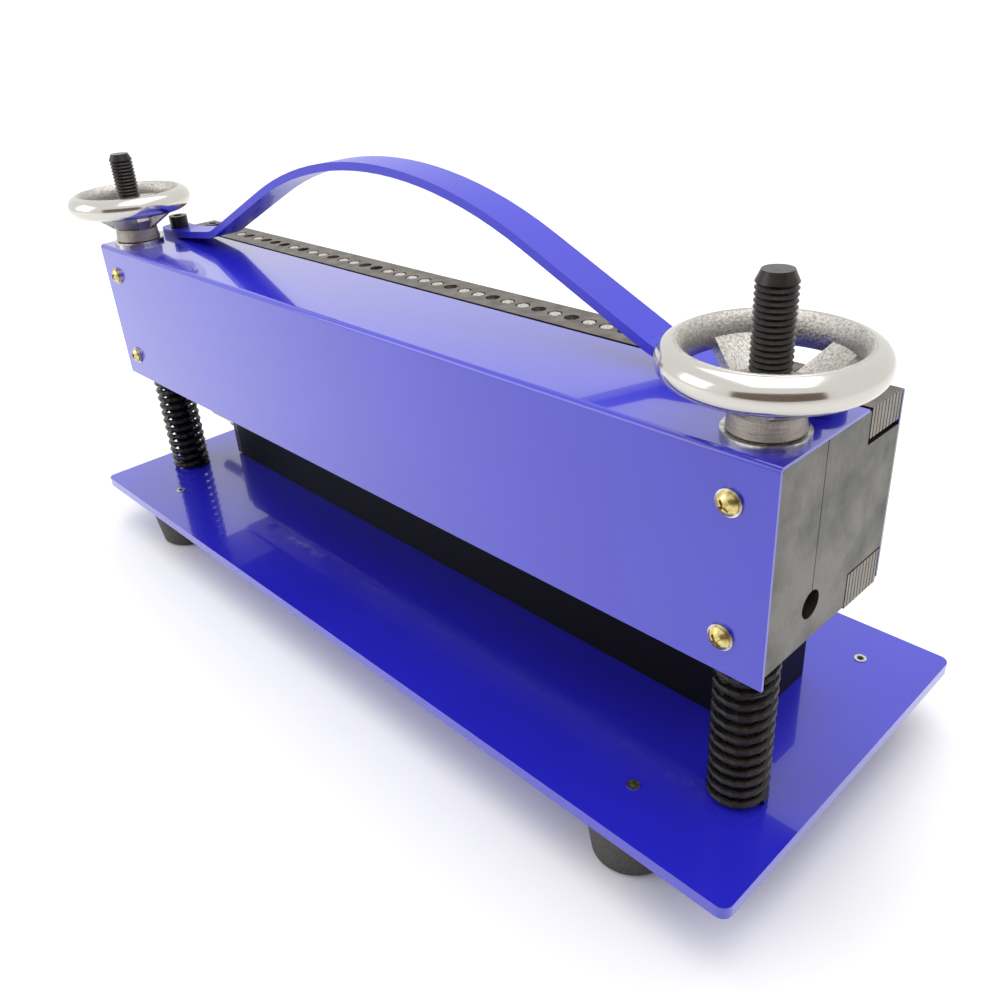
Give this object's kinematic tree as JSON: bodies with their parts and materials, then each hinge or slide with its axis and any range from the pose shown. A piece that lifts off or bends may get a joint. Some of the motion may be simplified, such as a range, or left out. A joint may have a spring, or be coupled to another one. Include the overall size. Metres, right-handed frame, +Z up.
{
  "type": "twin-screw pin-driving press",
  "caption": "Hand press with a blue covered head on screw rods, chromed handwheels, springs, a row of drive pins in a perforated bar, black anvil and carrying handle.",
  "frame": {"origin": "on the floor, under the middle of the base plate", "axes": "+X along the head to the user's right, +Y from the front cover to the back cover, +Z up along the screw rods"},
  "size_m": [0.464, 0.162, 0.2255],
  "materials": {
    "blue_paint": "gloss",
    "ground_steel": "ground",
    "black_oxide": "black oxide",
    "black_enamel": "satin",
    "bright_steel": "turned",
    "white_zinc": "zinc plated",
    "yellow_zinc": "yellow zinc plated",
    "cast_chrome": "chrome on cast iron",
    "rubber": "matt",
    "black_plastic": "gloss"
  },
  "bodies": {
    "base": {"base_plate": "blue_paint", "rubber_feet": "rubber", "foot_studs": "white_zinc", "screw_rod_left": "black_oxide", "screw_rod_right": "black_oxide", "rod_nuts": "black_oxide", "rod_nut_washers": "black_oxide", "anvil_bar": "black_enamel", "die_strip": "ground_steel", "anvil_screws": "black_oxide", "anvil_end_plate": "black_oxide", "end_plate_screws": "yellow_zinc", "spring_left": "black_oxide", "spring_right": "black_oxide"},
    "head": {"end_block_left": "ground_steel", "end_block_right": "ground_steel", "spine_bar": "ground_steel", "spine_screws": "black_oxide", "front_cover": "blue_paint", "cover_screws": "yellow_zinc", "cover_screw_washers": "white_zinc", "back_cover": "blue_paint", "back_cover_screws": "yellow_zinc", "top_guide_bar": "ground_steel", "bottom_guide_bar": "ground_steel", "top_bar_screws": "black_oxide", "bottom_bar_screws": "black_oxide", "carrying_handle": "blue_paint", "handle_screws": "black_oxide", "hub_washer_left": "white_zinc", "hub_washer_right": "white_zinc"},
    "handwheel_left": {"handwheel_left": "cast_chrome"},
    "handwheel_right": {"handwheel_right": "cast_chrome"},
    "gauge_pin": {"gauge_pin": "bright_steel", "gauge_pin_grip": "black_plastic"},
    "drive_pins_1": {"drive_pins_1": "bright_steel"},
    "drive_pins_2": {"drive_pins_2": "bright_steel"},
    "drive_pins_3": {"drive_pins_3": "bright_steel"},
    "drive_pins_4": {"drive_pins_4": "bright_steel"},
    "drive_pins_5": {"drive_pins_5": "bright_steel"},
    "drive_pins_6": {"drive_pins_6": "bright_steel"},
    "drive_pins_7": {"drive_pins_7": "bright_steel"},
    "drive_pins_8": {"drive_pins_8": "bright_steel"}
  },
  "joints": [
    {"name": "head_press", "type": "slide", "parent": "base", "child": "head", "axis": [0, 0, 1], "range_m": [-0.019, 0.012], "deforming": ["spring_left", "spring_right"]},
    {"name": "handwheel_left_turn", "type": "hinge", "parent": "head", "child": "handwheel_left", "pos_m": [-0.2, -0.037, 0.18], "axis": [0, 0, 1], "range_deg": [-3920, 2480]},
    {"name": "handwheel_right_turn", "type": "hinge", "parent": "head", "child": "handwheel_right", "pos_m": [0.2, -0.037, 0.18], "axis": [0, 0, 1], "range_deg": [-3920, 2480]},
    {"name": "drive_pins_1_slide", "type": "slide", "parent": "head", "child": "drive_pins_1", "axis": [0, 0, 1], "range_m": [-0.003, 0.012]},
    {"name": "drive_pins_2_slide", "type": "slide", "parent": "head", "child": "drive_pins_2", "axis": [0, 0, 1], "range_m": [-0.003, 0.012]},
    {"name": "drive_pins_3_slide", "type": "slide", "parent": "head", "child": "drive_pins_3", "axis": [0, 0, 1], "range_m": [-0.003, 0.012]},
    {"name": "drive_pins_4_slide", "type": "slide", "parent": "head", "child": "drive_pins_4", "axis": [0, 0, 1], "range_m": [-0.003, 0.012]},
    {"name": "drive_pins_5_slide", "type": "slide", "parent": "head", "child": "drive_pins_5", "axis": [0, 0, 1], "range_m": [-0.003, 0.012]},
    {"name": "drive_pins_6_slide", "type": "slide", "parent": "head", "child": "drive_pins_6", "axis": [0, 0, 1], "range_m": [-0.003, 0.012]},
    {"name": "drive_pins_7_slide", "type": "slide", "parent": "head", "child": "drive_pins_7", "axis": [0, 0, 1], "range_m": [-0.003, 0.012]},
    {"name": "drive_pins_8_slide", "type": "slide", "parent": "head", "child": "drive_pins_8", "axis": [0, 0, 1], "range_m": [-0.003, 0.012]},
    {"name": "gauge_pin_slide", "type": "slide", "parent": "base", "child": "gauge_pin", "axis": [-1, 0, 0], "range_m": [0, 0.1]}
  ],
  "couplings": [
    {"joint": "handwheel_left_turn", "follows": "head_press", "rad_per_m": 3590.4},
    {"joint": "handwheel_right_turn", "follows": "head_press", "rad_per_m": 3590.4}
  ]
}
